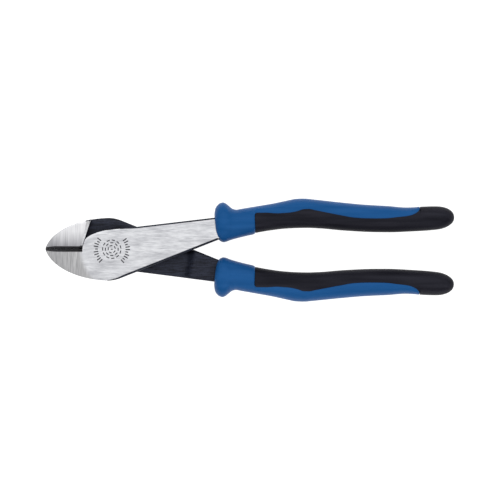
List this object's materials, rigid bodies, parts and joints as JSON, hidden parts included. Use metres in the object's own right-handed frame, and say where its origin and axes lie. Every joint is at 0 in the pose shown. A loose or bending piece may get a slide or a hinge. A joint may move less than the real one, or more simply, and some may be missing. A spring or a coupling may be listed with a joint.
{
  "type": "diagonal-cutting pliers",
  "caption": "Hand pliers with long tapering diagonal cutting jaws, a flush riveted lap joint and curved two-material grips.",
  "frame": {"origin": "on the pivot axis, in the flat ground face of the joint on the underside", "axes": "+X from the jaws towards the handle ends, +Y across the tool towards the handle of the front half, +Z through the tool's thickness towards the upper ground face"},
  "size_m": [0.2069, 0.0522, 0.0212],
  "materials": {
    "forged_steel": "ground and brushed, black oxide where it is left as forged",
    "rivet_steel": "ground flush",
    "core_plastic": "matte black",
    "cover_rubber": "soft satin blue"
  },
  "bodies": {
    "front": {"front_half": "forged_steel", "pivot_rivet": "rivet_steel", "front_grip_core": "core_plastic", "front_grip_cover": "cover_rubber"},
    "back": {"back_half": "forged_steel", "back_grip_core": "core_plastic", "back_grip_cover": "cover_rubber"}
  },
  "joints": [
    {"name": "pivot", "type": "hinge", "parent": "front", "child": "back", "pos_m": [0, 0, 0.006], "axis": [0, 0, -1], "range_deg": [0, 45]}
  ]
}
